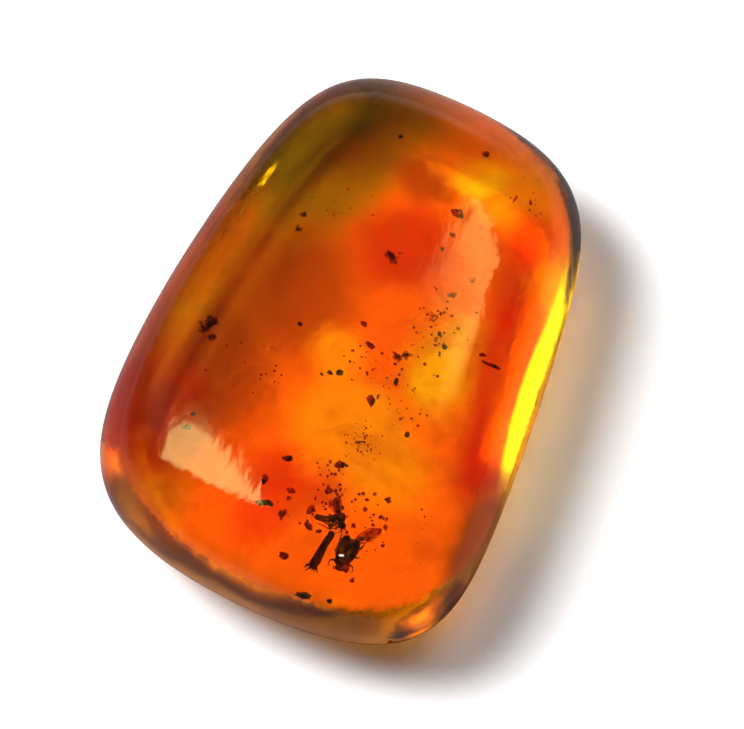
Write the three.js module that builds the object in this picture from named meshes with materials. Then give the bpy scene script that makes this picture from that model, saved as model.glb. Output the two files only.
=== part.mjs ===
// A hand-polished piece of amber: a thick tapering cushion with a low domed crown, rounded sides and a flat
// ground base. It formed and was polished as one piece, so it is one solid.
// Millimetres, +Z up. The origin is on the base, at the middle of the stone's bounding box.
// +Y runs along the stone, from the wide end to the narrow end.
import * as THREE from "three";

// Heights above the base.
const THICKNESS = 9.0;
const GIRDLE_HEIGHT = 3.8; // the widest level, all round

// The plan before its corners are rounded, counter-clockwise from above. reach is how far the rounding runs
// back along each side from the corner, and bow is how far the side that follows the corner bulges.
const CORNERS = [
  { x: -9.5, y: -11.9, reach: 2.3, bow: 1.0 }, // wide end, left
  { x: 9.2, y: -13.2, reach: 1.3, bow: 0.5 }, // wide end, right
  { x: 7.6, y: 12.9, reach: 2.2, bow: -0.3 }, // narrow end, right
  { x: -6.0, y: 14.3, reach: 1.2, bow: 0.9 }, // narrow end, left
];
const WEAR = 30; // rounds of smoothing that tumbling and polishing give the plan
const PLAN_POINTS = 96;

// The upright section through a side, drawn at the stone's mean radius.
const MEAN_RADIUS = 10.5;
const BASE_RADIUS = 6.6; // the flat ground on the underside
// Where each side's shoulder begins, from the middle.
const SIDES = [
  { towards: 0, shoulder: 6.4 }, // right
  { towards: 90, shoulder: 7.8 }, // narrow end
  { towards: 180, shoulder: 7.4 }, // left
  { towards: 270, shoulder: 6.2 }, // wide end: the roundest wall
];
// How far the dome would drop if it ran on to each side of the stone, half the width or the length from the
// middle. It slopes most to the right.
const HALF_WIDTH = 9.1;
const HALF_LENGTH = 13.4;
const DROP = { right: 2.6, left: 0.9, ends: 1.3 };
const FULLNESS = 0.56; // how far the shoulder's curve reaches into the corner of crown and wall
const LOWER_FULLNESS = 0.56; // the same between the wall and the base
const APEX = new THREE.Vector2(-0.7, -0.6); // the crown's highest point, off the middle

// The mesh: a box of small quads, blown up to the stone.
const QUADS_ACROSS = 24;
const QUADS_HIGH = 12;

const AMBER = new THREE.MeshStandardMaterial({
  name: "amber",
  color: 0xd65a0a,
  roughness: 0.06,
  metalness: 0,
});

// The plan at the girdle: bowed sides and rounded corners, evenly spaced points, worn smooth and centred.
function girdlePlan() {
  const at = (c) => new THREE.Vector2(c.x, c.y);
  const path = new THREE.Path();
  CORNERS.forEach((corner, i) => {
    const [before, next] = [CORNERS.at(i - 1), CORNERS[(i + 1) % CORNERS.length]];
    const here = at(corner);
    const back = at(before).sub(here).normalize();
    const ahead = at(next).sub(here).normalize();
    const outwards = new THREE.Vector2(ahead.y, -ahead.x);
    const roundStart = here.clone().addScaledVector(back, corner.reach);
    const roundEnd = here.clone().addScaledVector(ahead, corner.reach);
    const sideEnd = at(next).addScaledVector(ahead, -next.reach);
    const middle = roundEnd.clone().lerp(sideEnd, 0.5).addScaledVector(outwards, 2 * corner.bow);
    if (i === 0) path.moveTo(roundStart.x, roundStart.y);
    path.quadraticCurveTo(here.x, here.y, roundEnd.x, roundEnd.y);
    path.quadraticCurveTo(middle.x, middle.y, sideEnd.x, sideEnd.y);
  });
  let points = path.getSpacedPoints(PLAN_POINTS).slice(0, PLAN_POINTS);
  for (let round = 0; round < WEAR; round++) {
    points = points.map((p, i) => {
      const neighbours = points.at(i - 1).clone().add(points[(i + 1) % PLAN_POINTS]);
      return neighbours.addScaledVector(p, 2).divideScalar(4);
    });
  }
  const middle = new THREE.Box2().setFromPoints(points).getCenter(new THREE.Vector2());
  return points.map((p) => p.sub(middle));
}

// The plan's radius in any direction, between the two of its points that the direction passes.
function radiusTowards(plan, angle) {
  const ray = new THREE.Vector2(Math.cos(angle), Math.sin(angle));
  for (let i = 0; i < plan.length; i++) {
    const [a, b] = [plan[i], plan[(i + 1) % plan.length]];
    const [sideA, sideB] = [ray.cross(a), ray.cross(b)];
    if (sideA <= 0 && sideB > 0 && ray.dot(a) > 0) {
      return a.clone().lerp(b, -sideA / (sideB - sideA)).dot(ray);
    }
  }
  throw new Error("the plan doesn't go round the origin");
}

// From the apex over the crown and down the wall in one direction, then under the lower edge and in along the
// flat base. It is drawn at the mean radius.
function sectionTowards(angle, reach) {
  let shoulderRadius = 0;
  for (const side of SIDES) {
    const facing = Math.max(0, Math.cos(angle - THREE.MathUtils.degToRad(side.towards)));
    shoulderRadius += side.shoulder * facing * facing;
  }
  const x = (Math.cos(angle) * shoulderRadius * reach) / MEAN_RADIUS;
  const y = (Math.sin(angle) * shoulderRadius * reach) / MEAN_RADIUS;
  const sideways = x > 0 ? DROP.right : DROP.left;
  const fall = sideways * (x / HALF_WIDTH) ** 2 + DROP.ends * (y / HALF_LENGTH) ** 2;
  const slope = (2 * fall) / shoulderRadius;
  const shoulder = new THREE.Vector2(shoulderRadius, THICKNESS - fall);
  const girdle = new THREE.Vector2(MEAN_RADIUS, GIRDLE_HEIGHT);
  const corner = new THREE.Vector2(MEAN_RADIUS, shoulder.y - slope * (MEAN_RADIUS - shoulderRadius));
  const leaving = shoulder.clone().lerp(corner, FULLNESS);
  const arriving = girdle.clone().lerp(corner, FULLNESS);
  const under = THREE.MathUtils.lerp(BASE_RADIUS, MEAN_RADIUS, LOWER_FULLNESS);
  const path = new THREE.Path();
  path.moveTo(0, THICKNESS);
  path.quadraticCurveTo(shoulder.x / 2, THICKNESS, shoulder.x, shoulder.y);
  path.bezierCurveTo(leaving.x, leaving.y, arriving.x, arriving.y, girdle.x, girdle.y);
  path.bezierCurveTo(girdle.x, girdle.y * (1 - LOWER_FULLNESS), under, 0, BASE_RADIUS, 0);
  path.lineTo(0, 0);
  return path;
}

function stoneGeometry() {
  const plan = girdlePlan();
  const geometry = new THREE.BoxGeometry(2, 2, 2, QUADS_ACROSS, QUADS_ACROSS, QUADS_HIGH);
  const position = geometry.getAttribute("position");
  const direction = new THREE.Vector3();
  for (let i = 0; i < position.count; i++) {
    direction.fromBufferAttribute(position, i).normalize();
    const angle = Math.atan2(direction.y, direction.x);
    const along = Math.acos(THREE.MathUtils.clamp(direction.z, -1, 1)) / Math.PI;
    const reach = radiusTowards(plan, angle);
    const place = sectionTowards(angle, reach).getPointAt(along);
    const radius = (place.x / MEAN_RADIUS) * reach;
    const rise = Math.max(0, place.y - GIRDLE_HEIGHT) / (THICKNESS - GIRDLE_HEIGHT);
    position.setXYZ(
      i,
      radius * Math.cos(angle) + APEX.x * rise,
      radius * Math.sin(angle) + APEX.y * rise,
      place.y,
    );
  }
  geometry.computeVertexNormals();
  return geometry;
}

const stone = new THREE.Mesh(stoneGeometry(), AMBER);
stone.name = "amber_stone";

const object = new THREE.Group();
object.name = "insect_in_amber";
object.add(stone);

export default object;
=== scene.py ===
"""A polished piece of amber with small fossil insects, a twig splinter and bark crumbs sealed inside it.

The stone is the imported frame's own solid, smoothed. What it holds is placed by how far it lies across the
stone, along it and under its crown, in millimetres.
"""
import math
import random

import bmesh
import bpy
from bpy.props import FloatProperty, FloatVectorProperty, IntProperty, PointerProperty
from mathutils import Matrix, Vector
from mathutils.bvhtree import BVHTree


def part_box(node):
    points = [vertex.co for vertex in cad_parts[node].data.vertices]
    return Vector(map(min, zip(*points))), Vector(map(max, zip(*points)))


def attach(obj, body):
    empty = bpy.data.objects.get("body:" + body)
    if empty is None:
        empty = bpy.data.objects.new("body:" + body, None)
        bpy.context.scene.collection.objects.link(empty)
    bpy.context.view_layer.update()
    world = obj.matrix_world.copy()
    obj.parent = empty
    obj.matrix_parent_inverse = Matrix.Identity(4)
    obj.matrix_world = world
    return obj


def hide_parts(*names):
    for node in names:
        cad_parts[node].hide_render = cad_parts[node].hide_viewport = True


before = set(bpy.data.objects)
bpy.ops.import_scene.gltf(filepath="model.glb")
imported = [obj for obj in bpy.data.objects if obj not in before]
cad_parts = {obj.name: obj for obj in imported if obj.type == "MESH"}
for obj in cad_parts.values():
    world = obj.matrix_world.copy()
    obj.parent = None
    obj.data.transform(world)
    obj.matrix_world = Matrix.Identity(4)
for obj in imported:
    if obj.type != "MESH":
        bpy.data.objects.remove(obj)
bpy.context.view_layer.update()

bl_info = {
    "name": "Insect in amber",
    "version": (1, 0, 0),
    "blender": (4, 5, 0),
    "location": "3D View > Sidebar > Amber",
    "description": "Builds a polished amber with fossil insects and bark crumbs sealed in it",
    "category": "Add Mesh",
}

MM = 0.001
STONE = "amber_stone"
STONE_LOW, STONE_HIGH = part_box(STONE)
STONE_LENGTH = STONE_HIGH.y - STONE_LOW.y

# ---------------------------------------------------------------- settings


def colour(name, description, default):
    """A linear colour property."""
    return FloatVectorProperty(
        name=name, description=description, default=default, subtype="COLOR", size=3, min=0.0, max=1.0
    )


def share(name, description, default):
    """A property that runs from 0 to 1."""
    return FloatProperty(
        name=name, description=description, default=default, min=0.0, max=1.0, subtype="FACTOR"
    )


def length(name, description, default):
    """A length property in metres."""
    return FloatProperty(name=name, description=description, default=default, unit="LENGTH")


def angle(name, description, degrees):
    """An angle property whose default is given in degrees."""
    return FloatProperty(name=name, description=description, default=math.radians(degrees), unit="ROTATION")


class AmberSettings(bpy.types.PropertyGroup):
    """The resin."""

    ior: FloatProperty(name="IOR", description="Refractive index of amber", default=1.54, min=1.0, max=2.0)
    depth_colour: colour("Depth colour", "What thick resin still lets through", (0.9992, 0.9915, 0.0))
    depth_density: FloatProperty(
        name="Depth density", description="How fast resin swallows light, per metre", default=2000.0, min=0.0
    )
    polish: share("Polish", "Roughness of the hand-polished surface", 0.03)
    rubbing: length("Rubbing", "Height of the faint waves that hand polishing leaves", 0.02 * MM)
    orange: colour("Orange resin", "Tint of most of the resin", (1.0, 0.36, 0.10))
    honey: colour("Honey zones", "Tint of the clearest yellow zones", (1.0, 0.86, 0.36))
    # Painted light: this pale tint lets more light through the right wall and the base, as a glow of gathered
    # light.
    lemon_glow: colour("Lemon zones", "Tint of the clearest skin", (1.0, 0.97, 0.60))
    gold: colour("Gold zones", "Tint of the zones between orange and yellow", (1.0, 0.64, 0.16))
    red: colour("Red zones", "Tint of the oxidised red zones", (0.76, 0.14, 0.04))
    # Painted shade: this deep red tint darkens the right slope of the crown.
    garnet_shade: colour("Garnet zones", "Tint of the deep red skin over the clearest edge", (0.46, 0.010, 0.001))
    rust: colour("Rust zones", "Tint of the darkest red zones", (0.76, 0.11, 0.03))
    tawny: colour("Tawny zones", "Tint of the brown orange zones", (0.88, 0.36, 0.09))
    russet: colour("Russet zones", "Tint of the dark orange zones", (0.60, 0.20, 0.05))
    olive: colour("Olive zones", "Tint of the greenish zones", (0.56, 0.37, 0.18))
    # Painted shade: the mahogany, umber, ashen and dusky tints darken the skin along the edges; ashen also
    # greys it like a painted reflection of the floor.
    mahogany_shade: colour("Mahogany edge", "Tint of the dark skin along the left foot", (0.42, 0.06, 0.03))
    umber_shade: colour("Umber edge", "Tint of the dark skin at the right of the wide end", (0.09, 0.04, 0.025))
    ashen_shade: colour("Ashen edge", "Tint of the dull skin round the wide end", (0.32, 0.18, 0.16))
    dusky_shade: colour("Dusky edge", "Tint of the dull patches along the edge", (0.13, 0.03, 0.04))
    smoky: colour("Smoky zones", "Tint of the smoky dark zone", (0.46, 0.30, 0.15))
    # Painted shade: this tint darkens the skin round the lower edge.
    rim_shade: colour("Rind", "Tint of the weathered skin round the lower edge", (0.42, 0.20, 0.13))
    smoothing: IntProperty(
        name="Smoothing", description="Subdivision levels of the surface", default=2, min=0, max=3
    )


class InsectSettings(bpy.types.PropertyGroup):
    """The two fossil insects."""

    gnat_size: FloatProperty(
        name="Gnat size", description="Scale of the gnat, 1 for a body of 1.35 mm", default=1.0
    )
    beetle_size: FloatProperty(
        name="Beetle size", description="Scale of the beetle, 1 for a body of 1.55 mm", default=1.0
    )
    shell_dark: colour("Shell, dark", "Darkest brown of the insects' shell", (0.010, 0.004, 0.002))
    shell_light: colour("Shell, light", "Lightest brown of the insects' shell", (0.085, 0.022, 0.006))
    wing: colour("Wings", "What the wing skins let through", (0.42, 0.16, 0.07))


class DebrisSettings(bpy.types.PropertyGroup):
    """Twig, bark, grains and dust."""

    bark_dark: colour("Bark, dark", "Dark side of the bark crumbs", (0.030, 0.006, 0.002))
    bark_light: colour("Bark, light", "Light side of the bark crumbs", (0.420, 0.050, 0.008))
    speck_dark: colour("Specks, dark", "Darkest of the fine specks", (0.090, 0.012, 0.003))
    speck_light: colour("Specks, light", "Lightest of the fine specks", (0.480, 0.070, 0.010))
    wood_dark: colour("Wood, dark", "Dark fibres of the twig", (0.014, 0.006, 0.003))
    wood_light: colour("Wood, light", "Light fibres of the twig", (0.100, 0.034, 0.012))
    grit_dark: colour("Grit, dark", "Dark side of the olive grains", (0.020, 0.014, 0.006))
    grit_light: colour("Grit, light", "Light side of the olive grains", (0.120, 0.075, 0.030))
    haze: colour("Haze", "What a clot of a hazy smudge lets through", (0.44, 0.32, 0.28))
    # Painted highlight: the chip's two pale tones stand for a glint, mixed at random.
    glint_chip_dark: colour("Chip, dark", "Shaded facets of the chip in the polish", (0.80, 0.62, 0.52))
    glint_chip_light: colour("Chip, light", "Bright facets of the chip in the polish", (1.0, 0.92, 0.88))
    seed: IntProperty(name="Seed", description="Start of the random shapes", default=11)


class StageSettings(bpy.types.PropertyGroup):
    """Floor, light and camera."""

    floor: colour("Floor", "Colour of the plain floor", (0.92, 0.92, 0.93))
    floor_mirrored: colour("Mirrored floor", "Colour of the floor in the polish", (0.18, 0.18, 0.19))
    floor_gap: length("Floor gap", "Air between the stone's base and the floor", 0.00006)
    azimuth: angle("Azimuth", "Camera's turn round the stone", 22)
    elevation: angle("Elevation", "Camera's height above the horizon", 65)
    distance: length("Distance", "From the camera to its target", 0.150)
    lens: FloatProperty(name="Lens", description="Focal length in millimetres", default=160.0, unit="CAMERA")
    key: FloatProperty(name="Key", description="Radiance of the main soft light", default=34.0)
    fill: FloatProperty(name="Fill", description="Radiance of the light that softens the shadow", default=3.6)
    gathered: FloatProperty(
        name="Gathered", description="Radiance of the light gathered under the stone", default=1.6
    )
    window: FloatProperty(name="Window", description="Radiance of the window in the polish", default=8.0)
    panel: FloatProperty(name="Panel", description="Radiance of the warm streak in the polish", default=5.0)
    rim_light: FloatProperty(name="Rim light", description="Radiance of the two low side lights", default=4.0)
    horizon: FloatProperty(
        name="Horizon", description="Brightness of the surroundings low on the bright side", default=0.5
    )
    bright_side: angle("Bright side", "Where the bright horizon is, from +X", 150)
    zenith: FloatProperty(name="Zenith", description="Brightness of the other surroundings", default=0.05)


# ---------------------------------------------------------------- small helpers


def settings(part):
    """One group of the settings, such as amber."""
    return getattr(bpy.context.scene, "amber_" + part)


def stone_shape():
    """The frame's stone as a welded bmesh."""
    shape = bmesh.new()
    shape.from_mesh(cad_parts[STONE].data)
    bmesh.ops.remove_doubles(shape, verts=shape.verts, dist=0.001 * MM)
    return shape


def stone_tree():
    """The stone's surface, for asking where the crown is."""
    shape = stone_shape()
    tree = BVHTree.FromBMesh(shape)
    shape.free()
    return tree


TREE = stone_tree()


def crown(across, along):
    """The crown's point above a place in the plan, given in millimetres."""
    above = Vector((across * MM, along * MM, 2 * STONE_HIGH.z))
    point = TREE.ray_cast(above, Vector((0, 0, -1)))[0]
    if point is None:
        raise ValueError(f"({across}, {along}) is off the stone")
    return point


def inside(across, along, depth):
    """The place a given depth under the crown, all in millimetres."""
    return crown(across, along) - Vector((0, 0, depth * MM))


def settle(shape, verts, across, along, depth, turn=0.0, tip=0.0, size=1.0):
    """Puts part of a shape, modelled in millimetres round the origin, at a depth under the crown, turned
    about Z after it is tipped about X. Angles are in degrees."""
    matrix = (
        Matrix.Translation(inside(across, along, depth))
        @ Matrix.Rotation(math.radians(turn), 4, "Z")
        @ Matrix.Rotation(math.radians(tip), 4, "X")
        @ Matrix.Scale(size * MM, 4)
    )
    bmesh.ops.transform(shape, matrix=matrix, verts=verts)


def finished(name, shape, material, smooth=True):
    """Turns a bmesh into a piece of the stone, with its place in its mesh."""
    mesh = bpy.data.meshes.new(name)
    shape.to_mesh(mesh)
    shape.free()
    mesh.materials.append(material)
    mesh.shade_smooth() if smooth else mesh.shade_flat()
    piece = bpy.data.objects.new(name, mesh)
    bpy.context.scene.collection.objects.link(piece)
    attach(piece, "root")
    return piece


def new_material(name):
    """A material with an empty node tree."""
    material = bpy.data.materials.new(name)
    material.use_nodes = True
    material.node_tree.nodes.clear()
    return material


class Nodes:
    """Adds nodes to a tree and links them in one call."""

    def __init__(self, tree):
        self.tree = tree

    def add(self, kind, inputs=None, **fields):
        node = self.tree.nodes.new(kind)
        for field, value in fields.items():
            setattr(node, field, value)
        for socket, value in (inputs or {}).items():
            if isinstance(value, bpy.types.NodeSocket):
                self.tree.links.new(value, node.inputs[socket])
            else:
                node.inputs[socket].default_value = value
        return node

    def noise(self, vector, scale, detail=2.0, roughness=0.5, distortion=0.0):
        values = {"Vector": vector, "Scale": scale, "Detail": detail, "Roughness": roughness}
        return self.add("ShaderNodeTexNoise", {**values, "Distortion": distortion}).outputs["Fac"]

    def ramp(self, factor, low, high, top=1.0):
        values = {"Value": factor, "From Min": low, "From Max": high, "To Max": top}
        return self.add("ShaderNodeMapRange", values, interpolation_type="SMOOTHSTEP").outputs["Result"]

    def blend(self, factor, first, second):
        node = self.add("ShaderNodeMix", data_type="RGBA")
        for socket, value in ((node.inputs[0], factor), (node.inputs[6], first), (node.inputs[7], second)):
            if isinstance(value, bpy.types.NodeSocket):
                self.tree.links.new(value, socket)
            elif isinstance(value, float):
                socket.default_value = value
            else:
                socket.default_value = (*value, 1.0)
        return node.outputs[2]


# ---------------------------------------------------------------- materials


def zone(nodes, place, across, along, reach, stretch, turn, level=0.0, height=1000.0, core=0.4):
    """1 at a place, falling softly to 0 from its core, a share of its reach, to its reach. It goes right
    through the stone unless it has a height to each side of its level. In millimetres and degrees."""
    turned = nodes.add(
        "ShaderNodeMapping",
        {
            "Vector": place,
            "Location": (across * MM, along * MM, level * MM),
            "Rotation": (0, 0, math.radians(turn)),
            "Scale": (reach * MM, reach * stretch * MM, height * MM),
        },
        vector_type="TEXTURE",
    ).outputs["Vector"]
    far = nodes.add("ShaderNodeVectorMath", {0: turned}, operation="LENGTH").outputs["Value"]
    return nodes.ramp(far, 1.0, core)


# The resin's soft colour zones, from the first laid to the last: tint, across, along, reach in millimetres,
# how much longer than wide, and turn in degrees from the stone's length.
ZONES = (
    ("tawny", -4.6, -1.6, 4.6, 1.9, 5),
    ("russet", -2.2, -0.6, 3.2, 1.3, 15),
    ("russet", -4.6, -5.0, 3.2, 1.3, 20),
    ("rust", -6.4, -7.8, 3.0, 1.6, 10),
    ("olive", -3.9, 5.2, 3.8, 1.2, 0),
    ("smoky", -2.6, 7.2, 3.2, 0.9, 0),
    ("olive", -2.6, 10.0, 2.4, 1.8, 60),
    ("russet", 0.5, 6.6, 1.8, 1.0, 0),
    ("red", 0.6, 3.2, 3.0, 0.9, 30),
    ("red", 0.0, -9.0, 2.4, 0.8, 20),
    ("honey", 3.0, 7.9, 1.8, 0.8, 30),
    ("honey", 4.1, -1.1, 1.8, 2.1, 0),
    ("gold", 1.4, -5.4, 3.2, 0.9, 20),
    ("gold", 3.2, -6.8, 2.6, 1.0, 0),
    ("gold", 0.3, -2.6, 1.7, 1.0, 0),
    ("gold", -4.8, -10.8, 2.4, 1.0, 0),
)
# The skin's zones along the edge, laid over those and the painted shade round the lower edge. They paint
# light
# and shade into the tint: ashen, umber, mahogany, dusky and garnet are painted shade, ashen also greys the
# edge like a painted reflection, and lemon is a painted glow of light. Each also has a level, how far it
# reaches up and down from it, in millimetres, and the share of its reach that has its full tint.
EDGE_ZONES = (
    ("ashen_shade", -0.2, -14.5, 3.9, 3.0, 88, 4.4, 4.4, 0.4),
    ("umber_shade", 4.6, -13.8, 2.4, 2.4, 82, 4.4, 2.4, 0.4),
    ("ashen_shade", -8.2, -11.2, 2.8, 1.5, 40, 4.8, 2.6, 0.4),
    ("mahogany_shade", -7.2, 2.4, 2.6, 3.2, -5, 1.1, 1.1, 0.3),
    ("umber_shade", -6.2, 8.7, 2.6, 1.9, -5, 0.8, 1.4, 0.4),
    ("umber_shade", -4.8, 11.2, 2.0, 1.4, -30, 0.8, 1.4, 0.4),
    ("garnet_shade", 7.3, 0.8, 3.2, 2.5, 5, 6.8, 2.8, 0.4),
    ("garnet_shade", 7.9, -3.9, 2.4, 1.6, 5, 6.3, 2.4, 0.3),
    ("garnet_shade", 5.9, 6.4, 2.3, 1.3, 0, 7.4, 2.8, 0.2),
    ("lemon_glow", 8.9, 2.0, 4.0, 2.4, 5, 3.4, 2.6, 0.85),
    ("lemon_glow", 4.85, 3.3, 1.1, 6.0, 6, 0.0, 1.2, 0.7),
    ("dusky_shade", 3.4, 12.9, 2.2, 3.6, 65, 4.6, 3.0, 0.5),
    ("dusky_shade", 7.6, 10.0, 2.1, 1.5, 20, 4.2, 3.3, 0.4),
    ("umber_shade", 9.3, -7.9, 2.4, 2.2, 5, 4.4, 3.9, 0.5),
)
LEAN = Vector((0.107, -0.264, 0.0))  # how far the zones lean across and along for each step up
DRIFT = 4.0  # the most that the zones' shapes wander, from one side to the other, in millimetres
RAGGED = 1.2  # the same for the edge zones
# Heights in millimetres of the painted shade round the lower edge: its top, where it is full, and where it
# starts to fade to nothing at the base.
RIM_SHADE_TOP, RIM_SHADE_FULL, RIM_SHADE_FOOT = 5.6, 3.4, 1.6


def amber_material():
    """Clear resin: plain transmission and absorption, with soft smoky, red and honey-coloured zones."""
    amber = settings("amber")
    material = new_material("polished amber")
    nodes = Nodes(material.node_tree)
    place = nodes.add("ShaderNodeTexCoord").outputs["Object"]
    height = nodes.add("ShaderNodeSeparateXYZ", {0: place}).outputs["Z"]
    below = nodes.add("ShaderNodeMath", {0: STONE_HIGH.z, 1: height}, operation="SUBTRACT").outputs[0]
    lean = nodes.add("ShaderNodeVectorMath", {0: LEAN, "Scale": below}, operation="SCALE").outputs[0]
    upright = nodes.add("ShaderNodeVectorMath", {0: place, 1: lean}, operation="ADD").outputs[0]
    drift = nodes.add(
        "ShaderNodeTexNoise", {"Vector": upright, "Scale": 190.0, "Detail": 3.0, "Roughness": 0.55}
    ).outputs["Color"]
    shift = nodes.add("ShaderNodeVectorMath", {0: drift, 1: (0.5, 0.5, 0.5)}, operation="SUBTRACT").outputs[0]
    drifted = nodes.add(
        "ShaderNodeVectorMath", {0: shift, 1: (DRIFT * MM,) * 3, 2: upright}, operation="MULTIPLY_ADD"
    ).outputs[0]
    tint = nodes.blend(0.0, amber.orange, amber.orange)
    for name, *shape in ZONES:
        tint = nodes.blend(zone(nodes, drifted, *shape), tint, getattr(amber, name))
    clouds = nodes.noise(drifted, 420.0, detail=4.0, roughness=0.6)
    tint = nodes.blend(nodes.ramp(clouds, 0.46, 0.66, top=0.5), tint, amber.russet)
    # Painted shade: the skin darkens round the lower edge, up to its top and fading out towards the base.
    low = nodes.ramp(height, RIM_SHADE_TOP * MM, RIM_SHADE_FULL * MM)
    off_base = nodes.ramp(height, 0.0, RIM_SHADE_FOOT * MM)
    rim_shade = nodes.add("ShaderNodeMath", {0: low, 1: off_base}, operation="MULTIPLY").outputs[0]
    tint = nodes.blend(rim_shade, tint, amber.rim_shade)
    ragged = nodes.add(
        "ShaderNodeVectorMath", {0: shift, 1: (RAGGED * MM,) * 3, 2: place}, operation="MULTIPLY_ADD"
    ).outputs[0]
    # Painted light and shade: the edge zones darken the skin where shade and dim reflections fall, and
    # lighten it where the gathered light shines up.
    for name, *shape in EDGE_ZONES:
        tint = nodes.blend(zone(nodes, ragged, *shape), tint, getattr(amber, name))
    rubbing = nodes.noise(place, 800.0, detail=2.0)
    strokes = nodes.add(
        "ShaderNodeMapping", {"Vector": place, "Rotation": (0, 0, 0.6), "Scale": (1.0, 0.35, 1.0)}
    ).outputs[0]
    scratches = nodes.noise(strokes, 3000.0, detail=4.0)
    finish = nodes.add(
        "ShaderNodeMath", {0: scratches, 1: 0.5, 2: rubbing}, operation="MULTIPLY_ADD"
    ).outputs[0]
    relief = nodes.add(
        "ShaderNodeBump", {"Height": finish, "Strength": 1.0, "Distance": amber.rubbing}
    ).outputs["Normal"]
    gloss = nodes.add(
        "ShaderNodeMapRange", {"Value": rubbing, "To Min": 0.4 * amber.polish, "To Max": 1.6 * amber.polish}
    ).outputs["Result"]
    surface = nodes.add(
        "ShaderNodeBsdfPrincipled",
        {
            "Base Color": tint,
            "Roughness": gloss,
            "IOR": amber.ior,
            "Transmission Weight": 1.0,
            "Normal": relief,
        },
    )
    depth = nodes.add(
        "ShaderNodeVolumeAbsorption", {"Color": (*amber.depth_colour, 1.0), "Density": amber.depth_density}
    )
    output = nodes.add(
        "ShaderNodeOutputMaterial", {"Surface": surface.outputs[0], "Volume": depth.outputs[0]}
    )
    output.is_active_output = True
    return material


def mottled_material(name, dark, light, scale, stretch, roughness, relief, index=1.12):
    """An opaque material between two tones, with a patterned gloss and relief. scale is how many grains the
    pattern has in a metre, and stretch is the share of them that it has along the stone. The index is that of
    the surface against the resin."""
    material = new_material(name)
    nodes = Nodes(material.node_tree)
    place = nodes.add("ShaderNodeTexCoord").outputs["Object"]
    grain = nodes.add("ShaderNodeMapping", {"Vector": place, "Scale": (1.0, stretch, 1.0)}).outputs["Vector"]
    coarse = nodes.noise(grain, scale, detail=4.0, roughness=0.6)
    fine = nodes.noise(grain, scale * 5, detail=3.0, roughness=0.6)
    tone = nodes.blend(nodes.ramp(coarse, 0.36, 0.66), dark, light)
    gloss = nodes.add(
        "ShaderNodeMapRange", {"Value": fine, "To Min": roughness - 0.12, "To Max": roughness + 0.15}
    ).outputs["Result"]
    bump = nodes.add(
        "ShaderNodeBump", {"Height": fine, "Strength": relief, "Distance": 0.02 * MM}
    ).outputs["Normal"]
    surface = nodes.add(
        "ShaderNodeBsdfPrincipled", {"Base Color": tone, "Roughness": gloss, "Normal": bump, "IOR": index}
    )
    nodes.add("ShaderNodeOutputMaterial", {"Surface": surface.outputs[0]})
    return material


def sheer_material(name, tint, scale, low, high):
    """A see-through skin that only tints the resin's light, in uneven patches."""
    material = new_material(name)
    nodes = Nodes(material.node_tree)
    place = nodes.add("ShaderNodeTexCoord").outputs["Object"]
    patches = nodes.ramp(nodes.noise(place, scale, detail=3.0), low, high)
    surface = nodes.add(
        "ShaderNodeBsdfPrincipled",
        {
            "Base Color": nodes.blend(patches, tint, (1.0, 0.92, 0.85)),
            "Roughness": 0.0,
            "IOR": 1.0,
            "Transmission Weight": 1.0,
        },
    )
    nodes.add("ShaderNodeOutputMaterial", {"Surface": surface.outputs[0]})
    return material


def floor_material():
    """Plain pale floor, which shows only faintly as a reflection in the polish."""
    stage = settings("stage")
    material = new_material("floor")
    nodes = Nodes(material.node_tree)
    ray = nodes.add("ShaderNodeLightPath").outputs
    mirrored = nodes.add(
        "ShaderNodeMath", {0: ray["Is Glossy Ray"], 1: ray["Is Reflection Ray"]}, operation="MULTIPLY"
    ).outputs[0]
    surface = nodes.add(
        "ShaderNodeBsdfPrincipled",
        {
            "Base Color": nodes.blend(mirrored, stage.floor, stage.floor_mirrored),
            "Roughness": 0.9,
            "Specular IOR Level": 0.1,
        },
    )
    nodes.add("ShaderNodeOutputMaterial", {"Surface": surface.outputs[0]})
    return material


# ---------------------------------------------------------------- pieces


class AMBER_OT_stone(bpy.types.Operator):
    """Smooths the frame's stone and gives it its clear resin"""

    bl_idname = "amber.stone"
    bl_label = "Amber stone"

    def execute(self, context):
        shape = stone_shape()
        bmesh.ops.join_triangles(
            shape, faces=shape.faces, angle_face_threshold=math.pi, angle_shape_threshold=math.pi
        )
        piece = finished("amber_stone_polished", shape, amber_material())
        smooth = piece.modifiers.new("smooth", "SUBSURF")
        smooth.levels = smooth.render_levels = settings("amber").smoothing
        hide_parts(STONE)
        return {"FINISHED"}


# ---------------------------------------------------------------- shapes of what is sealed inside, in mm


def ball(shape, centre, radii, turn=0.0, smoothness=3):
    """Adds a rounded lump: its centre, its three radii and its turn about Z in degrees."""
    lump = bmesh.ops.create_icosphere(shape, subdivisions=smoothness, radius=1.0)["verts"]
    matrix = (
        Matrix.Translation(centre)
        @ Matrix.Rotation(math.radians(turn), 4, "Z")
        @ Matrix.Diagonal((*radii, 1.0))
    )
    bmesh.ops.transform(shape, matrix=matrix, verts=lump)


def rod(shape, start, end, start_radius, end_radius, sides=8):
    """Adds a tapering round rod between two points."""
    start, end = Vector(start), Vector(end)
    run = end - start
    matrix = Matrix.Translation((start + end) / 2) @ run.to_track_quat("Z", "Y").to_matrix().to_4x4()
    bmesh.ops.create_cone(
        shape,
        cap_ends=True,
        segments=sides,
        radius1=start_radius,
        radius2=end_radius,
        depth=run.length,
        matrix=matrix,
    )


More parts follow.
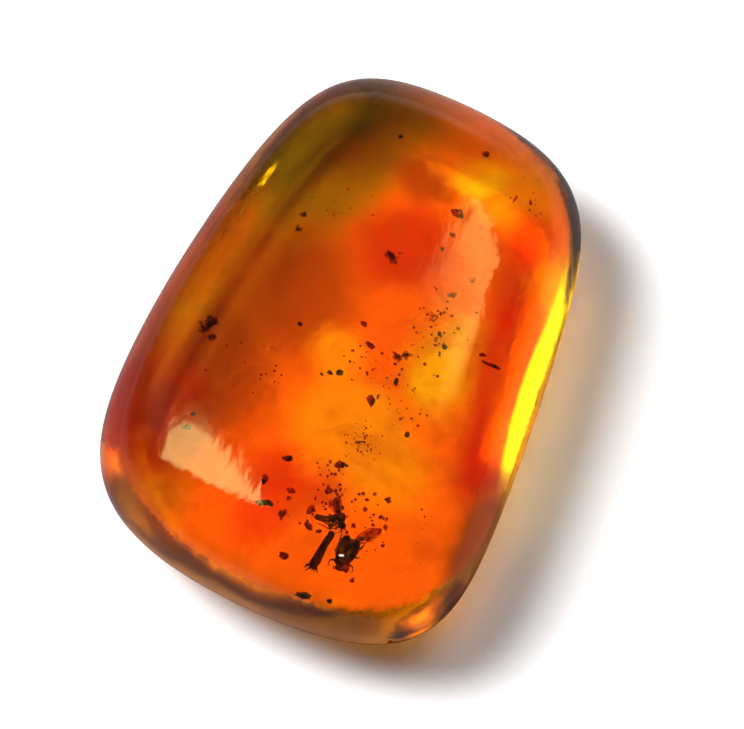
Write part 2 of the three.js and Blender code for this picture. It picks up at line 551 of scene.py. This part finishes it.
def limb(shape, joints, radius, thinning=0.75):
    """Adds a leg or feeler through its joints, thinner with each of its lengths."""
    for start, end in zip(joints, joints[1:]):
        thin = radius * thinning
        rod(shape, start, end, radius, thin, sides=6)
        ball(shape, end, (thin * 1.15,) * 3, smoothness=1)
        radius = thin


def wing(shape, root, length, width, turn, tip, thickness=0.012):
    """Adds a thin leaf-shaped wing that reaches from its root."""
    leaf = bmesh.ops.create_circle(shape, cap_ends=True, segments=28, radius=0.5)["verts"]
    for vert in leaf:
        vert.co.y *= 1.25 - 0.5 * abs(vert.co.x - 0.18)
    faces = list({face for vert in leaf for face in vert.link_faces})
    thick = bmesh.ops.solidify(shape, geom=faces, thickness=thickness / width)["geom"]
    verts = list({*leaf, *(item for item in thick if isinstance(item, bmesh.types.BMVert))})
    matrix = (
        Matrix.Translation(root)
        @ Matrix.Rotation(math.radians(turn), 4, "Z")
        @ Matrix.Rotation(math.radians(tip), 4, "X")
        @ Matrix.Diagonal((length, width, width, 1.0))
        @ Matrix.Translation((0.5, 0.0, 0.0))
    )
    bmesh.ops.transform(shape, matrix=matrix, verts=verts)


def veins(shape, root, length, spread, turn, count, radius=0.010):
    """Adds the veins that fan out over a wing."""
    for i in range(count):
        angle = math.radians(turn + spread * (i / (count - 1) - 0.5))
        reach = length * (0.92 - 0.25 * abs(i / (count - 1) - 0.45))
        end = Vector(root) + Vector((math.cos(angle), math.sin(angle), 0.0)) * reach
        rod(shape, root, end, radius * 1.6, radius, sides=5)


def crumb(shape, rng, width, length, height, shards=4, unevenness=0.45):
    """Adds a ragged crumb of stuck shards round the origin and gives back its vertices."""
    start = len(shape.verts)
    for _ in range(shards):
        share = 1.0 if shards == 1 else rng.uniform(0.5, 0.8)
        shard = bmesh.ops.create_icosphere(shape, subdivisions=1, radius=0.5 * share)["verts"]
        off = Vector([rng.uniform(-0.5, 0.5) * (1.0 - share) for _ in range(3)])
        for vert in shard:
            vert.co = vert.co * (1.0 + rng.uniform(-unevenness, unevenness)) + off
        edges = list({edge for vert in shard for edge in vert.link_edges})
        bmesh.ops.subdivide_edges(
            shape, edges=edges, cuts=1, use_grid_fill=True, fractal=1.0, seed=rng.randrange(1000)
        )
    shape.verts.ensure_lookup_table()
    verts = shape.verts[start:]
    bmesh.ops.scale(shape, vec=(width, length, height), verts=verts)
    return verts


# ---------------------------------------------------------------- what is sealed inside

GNAT_PLACE = (2.9, -9.0, 1.5, 22)  # across, along, depth in millimetres and turn in degrees
BEETLE_PLACE = (3.6, -10.05, 1.7, 0)
TWIG_PLACE = (2.7, -10.5, 1.3, 84)
GNAT_ABDOMEN = 7  # its segments


def shell_material():
    """Dark glossy brown shell of the insects."""
    dark, light = settings("insect").shell_dark, settings("insect").shell_light
    return mottled_material("insect shell", dark, light, 2600, 1.0, 0.28, 0.5, index=1.3)


class AMBER_OT_gnat(bpy.types.Operator):
    """Makes the gnat: humped, with its abdomen bent back, its legs drawn in and its wings folded up"""

    bl_idname = "amber.gnat"
    bl_label = "Gnat"

    def execute(self, context):
        insect = settings("insect")
        body = bmesh.new()
        ball(body, (0.0, 0.0, 0.0), (0.21, 0.20, 0.19), turn=20)
        ball(body, (0.03, -0.13, 0.02), (0.15, 0.14, 0.15))
        for i in range(GNAT_ABDOMEN):
            back = (i + 1) / GNAT_ABDOMEN
            bend = -0.10 * math.sin(math.pi * back)
            girth = (0.12, 0.185 - 0.06 * back, 0.15 - 0.05 * back)
            ball(body, (-0.12 - 0.86 * back, bend + 0.02, 0.0), girth)
        rod(body, (-1.02, 0.02, 0.0), (-1.14, 0.05, 0.0), 0.06, 0.02)
        ball(body, (0.05, -0.37, 0.0), (0.17, 0.15, 0.15))
        for side in (-1, 1):
            ball(body, (0.07, -0.40, 0.075 * side), (0.075, 0.085, 0.06), smoothness=2)
            root, bend = (0.10, -0.46, 0.04 * side), (0.20, -0.56, 0.10 * side)
            limb(body, [root, bend, (0.22, -0.72, 0.16 * side), (0.17, -0.86, 0.2 * side)], 0.016)
            for i in range(3):
                hip = Vector((0.06 - 0.11 * i, -0.13 - 0.02 * i, 0.09 * side))
                knee = hip + Vector((0.02 - 0.16 * i, -0.32 + 0.03 * i, 0.12 * side))
                shin = knee + Vector((-0.16 - 0.10 * i, -0.10 + 0.16 * i, 0.05 * side))
                foot = shin + Vector((-0.17, -0.05 + 0.05 * i, 0.0))
                limb(body, [hip, knee, shin, foot], 0.036, 0.72)
        limb(body, [(0.06, -0.46, 0.0), (0.05, -0.60, 0.0), (0.02, -0.72, 0.0)], 0.035)
        skins = bmesh.new()
        for turn, tip in ((104, 12), (122, -14)):
            veins(body, (-0.05, 0.12, 0.0), 0.78, 26, turn, 4)
            wing(skins, (-0.05, 0.12, 0.0), 0.80, 0.36, turn, tip)
        for name, shape, material in (
            ("gnat_body", body, shell_material()),
            ("gnat_wings", skins, sheer_material("wing skin", insect.wing, 3000, 0.45, 0.75)),
        ):
            across, along, depth, turn = GNAT_PLACE
            settle(shape, shape.verts, across, along, depth, turn, size=insect.gnat_size)
            piece = finished(name, shape, material)
        return {"FINISHED"}


class AMBER_OT_beetle(bpy.types.Operator):
    """Makes the beetle: two domed wing cases, a neck shield, and one hind wing that trails from under them"""

    bl_idname = "amber.beetle"
    bl_label = "Beetle"

    def execute(self, context):
        insect = settings("insect")
        body = bmesh.new()
        for side in (-1, 1):
            ball(body, (0.19 * side, 0.06, 0.05), (0.28, 0.58, 0.34), turn=-3 * side)
            ball(body, (0.13 * side, -0.80, 0.02), (0.07, 0.07, 0.06), smoothness=2)
            feeler = [(0.10 * side, -0.84, 0.0), (0.19 * side, -0.90, 0.02), (0.24 * side, -0.84, 0.02)]
            limb(body, feeler, 0.022, 0.9)
            ball(body, (0.25 * side, -0.81, 0.02), (0.035, 0.045, 0.03), smoothness=2)
            for i in range(3):
                hip = Vector((0.20 * side, -0.42 + 0.30 * i, -0.12))
                knee = hip + Vector((0.28 * side, -0.10 + 0.13 * i, 0.02))
                shin = knee + Vector((0.06 * side, -0.12 + 0.20 * i, -0.10))
                foot = shin + Vector((-0.04 * side, -0.10 + 0.08 * i, -0.02))
                limb(body, [hip, knee, shin, foot], 0.052, 0.7)
        ball(body, (0.0, 0.05, -0.10), (0.38, 0.56, 0.22))
        ball(body, (0.0, -0.52, 0.02), (0.34, 0.20, 0.25))
        ball(body, (0.0, -0.76, 0.0), (0.17, 0.15, 0.15))
        skin = bmesh.new()
        veins(body, (0.12, 0.45, 0.05), 1.20, 22, 46, 4, radius=0.014)
        wing(skin, (0.12, 0.45, 0.05), 1.25, 0.46, 46, 14, thickness=0.018)
        for name, shape, material in (
            ("beetle_body", body, shell_material()),
            ("beetle_wing", skin, sheer_material("hind wing skin", insect.wing, 2400, 0.5, 0.8)),
        ):
            across, along, depth, turn = BEETLE_PLACE
            settle(shape, shape.verts, across, along, depth, turn, size=insect.beetle_size)
            piece = finished(name, shape, material)
        return {"FINISHED"}


class AMBER_OT_twig(bpy.types.Operator):
    """Makes the twig splinter: a bundle of fibres with ragged ends"""

    bl_idname = "amber.twig"
    bl_label = "Twig splinter"

    def execute(self, context):
        debris = settings("debris")
        rng = random.Random(debris.seed)
        shape = bmesh.new()
        rod(shape, (-0.80, 0.0, 0.0), (0.84, 0.0, 0.0), 0.17, 0.11, sides=12)
        for i in range(18):
            angle = 2 * math.pi * i / 18
            side = Vector((0.0, math.cos(angle), math.sin(angle)))
            start = side * rng.uniform(0.11, 0.20) - Vector((rng.uniform(0.50, 0.98), 0, 0))
            end = side * rng.uniform(0.07, 0.14) + Vector((rng.uniform(0.30, 0.96), 0, 0))
            rod(shape, start, end, rng.uniform(0.025, 0.055), rng.uniform(0.015, 0.035), sides=6)
        for _ in range(8):
            start = Vector((-0.82, rng.uniform(-0.14, 0.14), rng.uniform(-0.10, 0.10)))
            torn = Vector((rng.uniform(-0.34, -0.08), rng.uniform(-0.24, 0.24), rng.uniform(-0.05, 0.05)))
            rod(shape, start, start + torn, 0.06, 0.016, sides=6)
        settle(shape, shape.verts, *TWIG_PLACE)
        wood = mottled_material("twig", debris.wood_dark, debris.wood_light, 5200, 0.25, 0.70, 0.8)
        piece = finished("twig_splinter", shape, wood)
        return {"FINISHED"}


# Crumbs: across, along and depth, then width, length and height in millimetres, and turn in degrees.
BARK_CRUMBS = (
    (2.3, 6.2, 1.4, 0.72, 0.66, 0.4, 20),
    (2.2, -3.8, 1.3, 0.50, 0.62, 0.3, 30),
    (2.4, -3.5, 1.3, 0.14, 0.30, 0.1, 10),
    (2.0, -7.0, 1.5, 0.62, 0.40, 0.3, 15),
    (-0.1, -7.6, 1.5, 0.50, 0.28, 0.2, 25),
    (-0.6, -8.8, 1.5, 0.30, 0.58, 0.2, 15),
    (0.5, -8.8, 1.5, 0.60, 0.34, 0.3, 0),
    (0.6, -9.1, 1.6, 0.26, 0.24, 0.2, 0),
    (0.6, -9.8, 1.5, 0.36, 0.44, 0.3, 20),
    (1.6, -9.2, 1.5, 0.56, 0.44, 0.3, 60),
    (1.8, -9.9, 1.4, 0.36, 0.70, 0.2, 45),
    (2.0, -8.2, 1.5, 0.42, 0.34, 0.3, -20),
    (2.5, -8.6, 1.4, 0.44, 0.66, 0.3, 22),
    (1.3, -11.2, 1.5, 0.60, 0.36, 0.3, 10),
    (3.9, -10.8, 1.2, 0.44, 0.48, 0.3, 50),
    (4.3, -11.1, 1.2, 0.26, 0.26, 0.2, 20),
    (4.4, -7.5, 1.5, 0.36, 0.26, 0.2, 0),
    (3.7, -8.3, 1.5, 0.28, 0.30, 0.2, 60),
    (3.5, -9.1, 1.5, 0.24, 0.26, 0.2, 0),
    (2.3, 9.7, 1.2, 0.42, 0.38, 0.3, 35),
    (0.6, -0.6, 1.5, 0.38, 0.32, 0.2, 0),
    (1.2, -1.4, 1.5, 0.32, 0.56, 0.3, 60),
    (6.0, 0.3, 1.4, 1.30, 0.22, 0.2, -4),
    (5.6, 0.5, 1.4, 0.40, 0.24, 0.2, 10),
    (4.3, 8.2, 1.0, 0.48, 0.12, 0.1, 78),
    (4.9, 8.4, 1.0, 0.16, 0.34, 0.1, 20),
    (5.0, 8.0, 1.0, 0.14, 0.16, 0.1, 0),
    (6.6, -12.4, 0.8, 0.34, 0.24, 0.2, 0),  # this one reaches 0.09 mm out of the resin
)
GRIT_CRUMBS = (
    (0.5, -3.1, 1.5, 0.38, 0.36, 0.3, 0),
    (0.1, -3.3, 1.5, 0.28, 0.24, 0.2, 20),
    (-0.2, -3.5, 1.5, 0.20, 0.18, 0.2, 0),
    (2.8, -2.5, 1.5, 0.22, 0.44, 0.2, 22),
    (4.1, 0.0, 1.5, 0.30, 0.26, 0.2, 0),
    (4.1, -4.5, 1.5, 0.26, 0.34, 0.2, 10),
    (2.4, -5.7, 1.5, 0.62, 0.12, 0.1, 26),
    (-2.0, -1.5, 2.0, 0.26, 0.24, 0.2, 0),
    (-4.6, -8.1, 0.5, 0.44, 0.28, 0.2, 15),
    (-0.2, -9.9, 0.7, 0.84, 0.34, 0.2, 12),
    (2.6, -12.3, 1.2, 0.84, 0.46, 0.2, 16),
    (3.7, -12.1, 1.2, 0.30, 0.24, 0.2, 0),
    (-1.5, 9.1, 2.0, 0.30, 0.28, 0.2, 0),
    (-4.6, -7.4, 0.6, 0.22, 0.20, 0.1, 0),
)
# Hazy smudges deeper in the resin: middle across, along and depth, spread, how many clots, and their size.
SMUDGES = (
    (-5.9, -2.6, 3.0, 0.45, 16, 0.34),
    (-5.5, -3.1, 3.2, 0.28, 8, 0.28),
    (0.2, 3.4, 3.0, 0.40, 14, 0.30),
    (2.3, -0.9, 3.0, 0.36, 12, 0.28),
    (2.2, 5.4, 2.5, 0.18, 5, 0.22),
    (2.2, 4.6, 2.5, 0.16, 5, 0.20),
    (3.8, 3.8, 2.5, 0.18, 5, 0.22),
    (3.3, 2.7, 2.5, 0.22, 7, 0.24),
    (2.9, 1.4, 2.5, 0.32, 9, 0.24),
    (3.4, 0.6, 2.5, 0.26, 7, 0.22),
    (-4.0, 3.6, 2.0, 0.20, 6, 0.20),
    (-3.9, 2.8, 2.0, 0.18, 5, 0.20),
)
# Dust: middle across, along and depth, spread across and along, how many, and their largest size.
DUST = (
    (2.6, -5.6, 1.6, 1.0, 1.1, 60, 0.11),
    (2.4, -8.4, 1.6, 1.6, 1.8, 70, 0.18),
    (4.2, -8.8, 1.5, 1.0, 1.8, 26, 0.20),
    (3.4, 0.2, 2.0, 1.4, 2.6, 46, 0.17),
    (4.6, 8.6, 1.2, 1.4, 1.2, 12, 0.13),
    (-2.4, 5.0, 2.0, 2.0, 2.4, 16, 0.12),
    (-3.4, -4.2, 2.0, 2.4, 2.2, 22, 0.13),
    (1.6, -2.4, 1.6, 1.8, 1.4, 30, 0.14),
    (3.6, -3.4, 1.6, 1.2, 1.6, 26, 0.16),
    (6.0, -8.6, 1.2, 0.8, 2.6, 10, 0.12),
)


def crumbs_piece(name, rows, material, rng, shards=4):
    """Makes one piece of all the crumbs in a table."""
    shape = bmesh.new()
    for across, along, depth, width, long, height, turn in rows:
        verts = crumb(shape, rng, width, long, height, shards)
        settle(shape, verts, across, along, depth, turn, tip=rng.uniform(-20, 20))
    piece = finished(name, shape, material, smooth=False)


class AMBER_OT_crumbs(bpy.types.Operator):
    """Makes the bark crumbs, the olive-black grains and the hazy smudges"""

    bl_idname = "amber.crumbs"
    bl_label = "Crumbs and smudges"

    def execute(self, context):
        debris = settings("debris")
        rng = random.Random(debris.seed)
        bark = mottled_material("bark", debris.bark_dark, debris.bark_light, 3600, 1.0, 0.65, 0.9)
        grit = mottled_material("grit", debris.grit_dark, debris.grit_light, 4200, 1.0, 0.60, 0.8)
        haze = sheer_material("haze", debris.haze, 1800, 0.45, 0.8)
        crumbs_piece("bark_crumbs", BARK_CRUMBS, bark, rng)
        crumbs_piece("grit_crumbs", GRIT_CRUMBS, grit, rng)
        clots = []
        for across, along, depth, spread, count, size in SMUDGES:
            for _ in range(count):
                shift = Vector([rng.triangular(-spread, spread) for _ in range(3)])
                sides = [size * rng.uniform(0.5, 1.2) for _ in range(3)]
                place = (across + shift.x, along + shift.y, depth + shift.z)
                clots.append((*place, *sides, rng.uniform(0, 180)))
        crumbs_piece("hazy_smudges", clots, haze, rng, shards=1)
        return {"FINISHED"}


class AMBER_OT_dust(bpy.types.Operator):
    """Scatters the finest specks in their loose swarms"""

    bl_idname = "amber.dust"
    bl_label = "Dust"

    def execute(self, context):
        debris = settings("debris")
        rng = random.Random(debris.seed + 1)
        shape = bmesh.new()
        for across, along, depth, wide, long, count, largest in DUST:
            for _ in range(count):
                verts = bmesh.ops.create_icosphere(shape, subdivisions=1, radius=0.5)["verts"]
                size = largest * rng.uniform(0.35, 1.0)
                scale = (size * rng.uniform(0.7, 1.4), size * rng.uniform(0.7, 1.4), size)
                bmesh.ops.scale(shape, vec=scale, verts=verts)
                x = across + rng.triangular(-wide, wide, 0.0)
                y = along + rng.triangular(-long, long, 0.0)
                settle(shape, verts, x, y, depth + rng.uniform(-0.8, 0.8), rng.uniform(0, 180), 20)
        speck = mottled_material("speck", debris.speck_dark, debris.speck_light, 5000, 1.0, 0.60, 0.5)
        piece = finished("dust_specks", shape, speck, smooth=False)
        return {"FINISHED"}


# Gas bubbles: across, along, depth and radius in millimetres.
BUBBLES = (
    (0.3, -9.6, 1.0, 0.045),
    (0.9, -9.9, 1.1, 0.040),
    (2.3, 0.6, 1.4, 0.060),
    (2.4, 0.2, 1.5, 0.045),
    (2.9, 0.1, 1.4, 0.055),
    (-2.2, -3.8, 1.2, 0.040),
)
GLINT_CHIP_PLACE = (3.74, -10.84, 0.012, 30)  # across, along, depth and turn: on the crown over the beetle, a pale fleck painted as a glint


class AMBER_OT_bubbles(bpy.types.Operator):
    """Makes the few tiny gas bubbles"""

    bl_idname = "amber.bubbles"
    bl_label = "Bubbles"

    def execute(self, context):
        material = new_material("gas bubble")
        nodes = Nodes(material.node_tree)
        place = nodes.add("ShaderNodeTexCoord").outputs["Object"]
        film = nodes.blend(nodes.noise(place, 9000.0), (1.0, 0.96, 0.90), (0.90, 0.82, 0.72))
        surface = nodes.add(
            "ShaderNodeBsdfPrincipled",
            {
                "Base Color": film,
                "Roughness": 0.02,
                "IOR": 1.0 / 1.54,
                "Transmission Weight": 1.0,
            },
        )
        nodes.add("ShaderNodeOutputMaterial", {"Surface": surface.outputs[0]})
        shape = bmesh.new()
        for across, along, depth, radius in BUBBLES:
            verts = bmesh.ops.create_icosphere(shape, subdivisions=3, radius=radius)["verts"]
            settle(shape, verts, across, along, depth)
        finished("gas_bubbles", shape, material)
        return {"FINISHED"}


class AMBER_OT_glint_chip(bpy.types.Operator):
    """Makes the bright chip in the polish over the beetle, whose pale tones paint a glint"""

    bl_idname = "amber.chip"
    bl_label = "Chip in the polish"

    def execute(self, context):
        debris = settings("debris")
        dark, light = debris.glint_chip_dark, debris.glint_chip_light
        shape = bmesh.new()
        verts = crumb(shape, random.Random(debris.seed), 0.30, 0.16, 0.05)
        settle(shape, verts, *GLINT_CHIP_PLACE)
        # Painted highlight: pale tones that stand for a glint.
        pale = mottled_material("painted glint fleck", dark, light, 9000, 1.0, 0.35, 0.6, index=1.5)
        finished("painted_glint_chip", shape, pale, smooth=False)
        return {"FINISHED"}


# ---------------------------------------------------------------- stage

TARGET = Vector((0.91 * MM, -0.33 * MM, 3.5 * MM))  # what the camera and the lights round the stone face
WHITE = (1.0, 1.0, 1.0)


def towards_camera():
    """The direction from the stone to the camera."""
    stage = settings("stage")
    level = math.cos(stage.elevation)
    return Vector(
        (math.sin(stage.azimuth) * level, -math.cos(stage.azimuth) * level, math.sin(stage.elevation))
    )


def soft_light(
    name, way, distance, width, height, radiance, tint=WHITE, turn=0.0, fade=(0.5,) * 4, taper=(0.0, 0.0)
):
    """A soft light that faces the stone from a direction. fade is the share of the width over which its left
    and right edges fade out, then the share of the height for its lower and upper edges. taper is the share
    of the width by which its left and right edges lean in towards the upper edge. turn is in degrees."""
    light = bpy.data.lights.new(name, "AREA")
    light.shape = "RECTANGLE"
    light.size = width
    light.size_y = height
    light.energy = radiance * math.pi * width * height
    light.color = tint
    light.use_nodes = True
    light.node_tree.nodes.clear()
    nodes = Nodes(light.node_tree)
    spot = nodes.add("ShaderNodeSeparateXYZ", {0: nodes.add("ShaderNodeNewGeometry").outputs["Parametric"]})
    across, up = spot.outputs["X"], spot.outputs["Y"]
    from_left, from_right = [
        nodes.add("ShaderNodeMath", {0: up, 1: lean, 2: across}, operation="MULTIPLY_ADD").outputs[0]
        for lean in (-taper[0], taper[1])
    ]
    strength = 1.0
    for place, start, end in (
        (from_left, 0.0, fade[0]),
        (from_right, 1.0, 1.0 - fade[1]),
        (up, 0.0, fade[2]),
        (up, 1.0, 1.0 - fade[3]),
    ):
        edge = nodes.ramp(place, start, end)
        strength = nodes.add("ShaderNodeMath", {0: edge, 1: strength}, operation="MULTIPLY").outputs[0]
    glow = nodes.add("ShaderNodeEmission", {"Strength": strength})
    nodes.add("ShaderNodeOutputLight", {"Surface": glow.outputs[0]})
    holder = bpy.data.objects.new(name, light)
    holder.location = TARGET + way.normalized() * distance
    facing = way.to_track_quat("Z", "Y").to_matrix().to_4x4()
    holder.rotation_euler = (facing @ Matrix.Rotation(math.radians(turn), 4, "Z")).to_euler()
    holder.visible_camera = False
    bpy.context.scene.collection.objects.link(holder)
    return holder


def direction(azimuth, elevation):
    """A direction from its turn round the stone, from +X, and its height, in degrees."""
    turn, rise = math.radians(azimuth), math.radians(elevation)
    return Vector((math.cos(turn) * math.cos(rise), math.sin(turn) * math.cos(rise), math.sin(rise)))


def surroundings():
    """A world that is bright low down behind the stone and to its left, and dimmer overhead and in front."""
    stage = settings("stage")
    world = bpy.data.worlds.new("studio")
    world.use_nodes = True
    world.node_tree.nodes.clear()
    nodes = Nodes(world.node_tree)
    way = nodes.add("ShaderNodeTexCoord").outputs["Generated"]
    height = nodes.add("ShaderNodeSeparateXYZ", {0: way}).outputs["Z"]
    level_way = (math.cos(stage.bright_side), math.sin(stage.bright_side), 0.0)
    bright_side = nodes.add(
        "ShaderNodeVectorMath", {0: way, 1: level_way}, operation="DOT_PRODUCT"
    ).outputs["Value"]
    horizon = nodes.blend(nodes.ramp(bright_side, -0.1, 0.7), [stage.zenith] * 3, [stage.horizon] * 3)
    sky = nodes.blend(nodes.ramp(height, 0.08, 0.35), horizon, [stage.zenith] * 3)
    glow = nodes.add("ShaderNodeBackground", {"Color": sky})
    nodes.add("ShaderNodeOutputWorld", {"Surface": glow.outputs[0]})
    bpy.context.scene.world = world


def hide_from(light, *rays):
    """Hides a light from some kinds of rays, such as glossy ones."""
    for ray in rays:
        setattr(light, "visible_" + ray, False)


def studio_lights():
    """The soft lights that light the stone and the floor."""
    stage = settings("stage")
    key = soft_light("key", direction(184, 52), 0.30, width=0.24, height=0.24, radiance=stage.key)
    fill = soft_light("fill", direction(60, 70), 0.40, width=0.40, height=0.40, radiance=stage.fill)
    hide_from(key, "glossy")
    hide_from(fill, "glossy")
    left = soft_light("low", direction(170, 22), 0.30, width=0.22, height=0.14, radiance=stage.rim_light)
    right = soft_light("back", direction(-8, 30), 0.30, width=0.40, height=0.14, radiance=stage.rim_light)
    hide_from(left, "diffuse", "glossy")
    hide_from(right, "diffuse", "glossy")


def gathered_light():
    """The light that the stone gathers under its right edge: a strip that lights the floor below the base."""
    stage = settings("stage")
    across, along = 4.9 * MM, 2.9 * MM
    gathered = soft_light(
        "gathered",
        Vector((0, 0, 1)),
        0.30,
        width=1.6 * MM,
        height=11.4 * MM,
        radiance=stage.gathered,
        tint=(1.0, 0.92, 0.5),
        fade=(0.25, 0.25, 0.12, 0.3),
    )
    gathered.location = (across, along, STONE_LOW.z - 0.5 * stage.floor_gap)
    gathered.rotation_euler.z = math.radians(6)
    hide_from(gathered, "glossy", "transmission")


def mirrored_lights():
    """The lights that show in the polish: a window at the wide end and a warm streak along the right."""
    stage = settings("stage")
    window = soft_light(
        "window",
        direction(-161, 61),
        0.30,
        width=0.20,
        height=0.21,
        radiance=stage.window,
        tint=(0.88, 0.85, 0.28),
        turn=77,
        fade=(0.12, 0.12, 0.12, 0.3),
        taper=(0.66, 0.20),
    )
    panel = soft_light(
        "panel",
        direction(49, 52),
        0.30,
        width=0.18,
        height=0.078,
        radiance=stage.panel,
        tint=(1.0, 0.76, 0.20),
        turn=20,
        fade=(0.3, 0.2, 0.10, 0.85),
    )
    hide_from(window, "diffuse")
    hide_from(panel, "diffuse")


def floor_disc():
    """The plain floor, just under the stone's base."""
    shape = bmesh.new()
    bmesh.ops.create_circle(shape, cap_ends=True, segments=96, radius=60 * STONE_LENGTH)
    bmesh.ops.translate(shape, verts=shape.verts, vec=(0, 0, STONE_LOW.z - settings("stage").floor_gap))
    mesh = bpy.data.meshes.new("floor")
    shape.to_mesh(mesh)
    shape.free()
    mesh.materials.append(floor_material())
    floor = bpy.data.objects.new("floor", mesh)
    bpy.context.scene.collection.objects.link(floor)


def camera():
    """The camera, which looks down on the stone over its wide end."""
    stage = settings("stage")
    optics = bpy.data.cameras.new("camera")
    optics.lens = stage.lens
    optics.clip_start = 0.01
    optics.clip_end = 10.0
    holder = bpy.data.objects.new("camera", optics)
    holder.location = TARGET + towards_camera() * stage.distance
    holder.rotation_euler = towards_camera().to_track_quat("Z", "Y").to_euler()
    bpy.context.scene.collection.objects.link(holder)
    bpy.context.scene.camera = holder


class AMBER_OT_stage(bpy.types.Operator):
    """Makes the floor, the soft lights and the camera"""

    bl_idname = "amber.stage"
    bl_label = "Stage"

    def execute(self, context):
        floor_disc()
        surroundings()
        studio_lights()
        gathered_light()
        mirrored_lights()
        camera()
        context.scene.view_settings.view_transform = "Standard"
        return {"FINISHED"}


# ---------------------------------------------------------------- add-on

GROUPS = {"amber": AmberSettings, "insect": InsectSettings, "debris": DebrisSettings, "stage": StageSettings}
OPERATORS = (
    AMBER_OT_stone,
    AMBER_OT_gnat,
    AMBER_OT_beetle,
    AMBER_OT_twig,
    AMBER_OT_crumbs,
    AMBER_OT_dust,
    AMBER_OT_bubbles,
    AMBER_OT_glint_chip,
    AMBER_OT_stage,
)


class AMBER_PT_panel(bpy.types.Panel):
    """Makes the pieces of the amber one by one, and shows the settings"""

    bl_label = "Insect in amber"
    bl_idname = "AMBER_PT_panel"
    bl_space_type = "VIEW_3D"
    bl_region_type = "UI"
    bl_category = "Amber"

    def draw(self, context):
        for operator in OPERATORS:
            self.layout.operator(operator.bl_idname)
        for part, group in GROUPS.items():
            box = self.layout.box()
            box.label(text=part.capitalize())
            for name in group.__annotations__:
                box.prop(settings(part), name)


def register():
    for made in (*GROUPS.values(), *OPERATORS, AMBER_PT_panel):
        bpy.utils.register_class(made)
    for part, group in GROUPS.items():
        setattr(bpy.types.Scene, "amber_" + part, PointerProperty(type=group))


def unregister():
    for part in GROUPS:
        delattr(bpy.types.Scene, "amber_" + part)
    for made in (AMBER_PT_panel, *reversed(OPERATORS), *reversed(GROUPS.values())):
        bpy.utils.unregister_class(made)


def main():
    register()
    for operator in OPERATORS:
        family, name = operator.bl_idname.split(".")
        getattr(getattr(bpy.ops, family), name)()


if __name__ == "__main__":
    main()
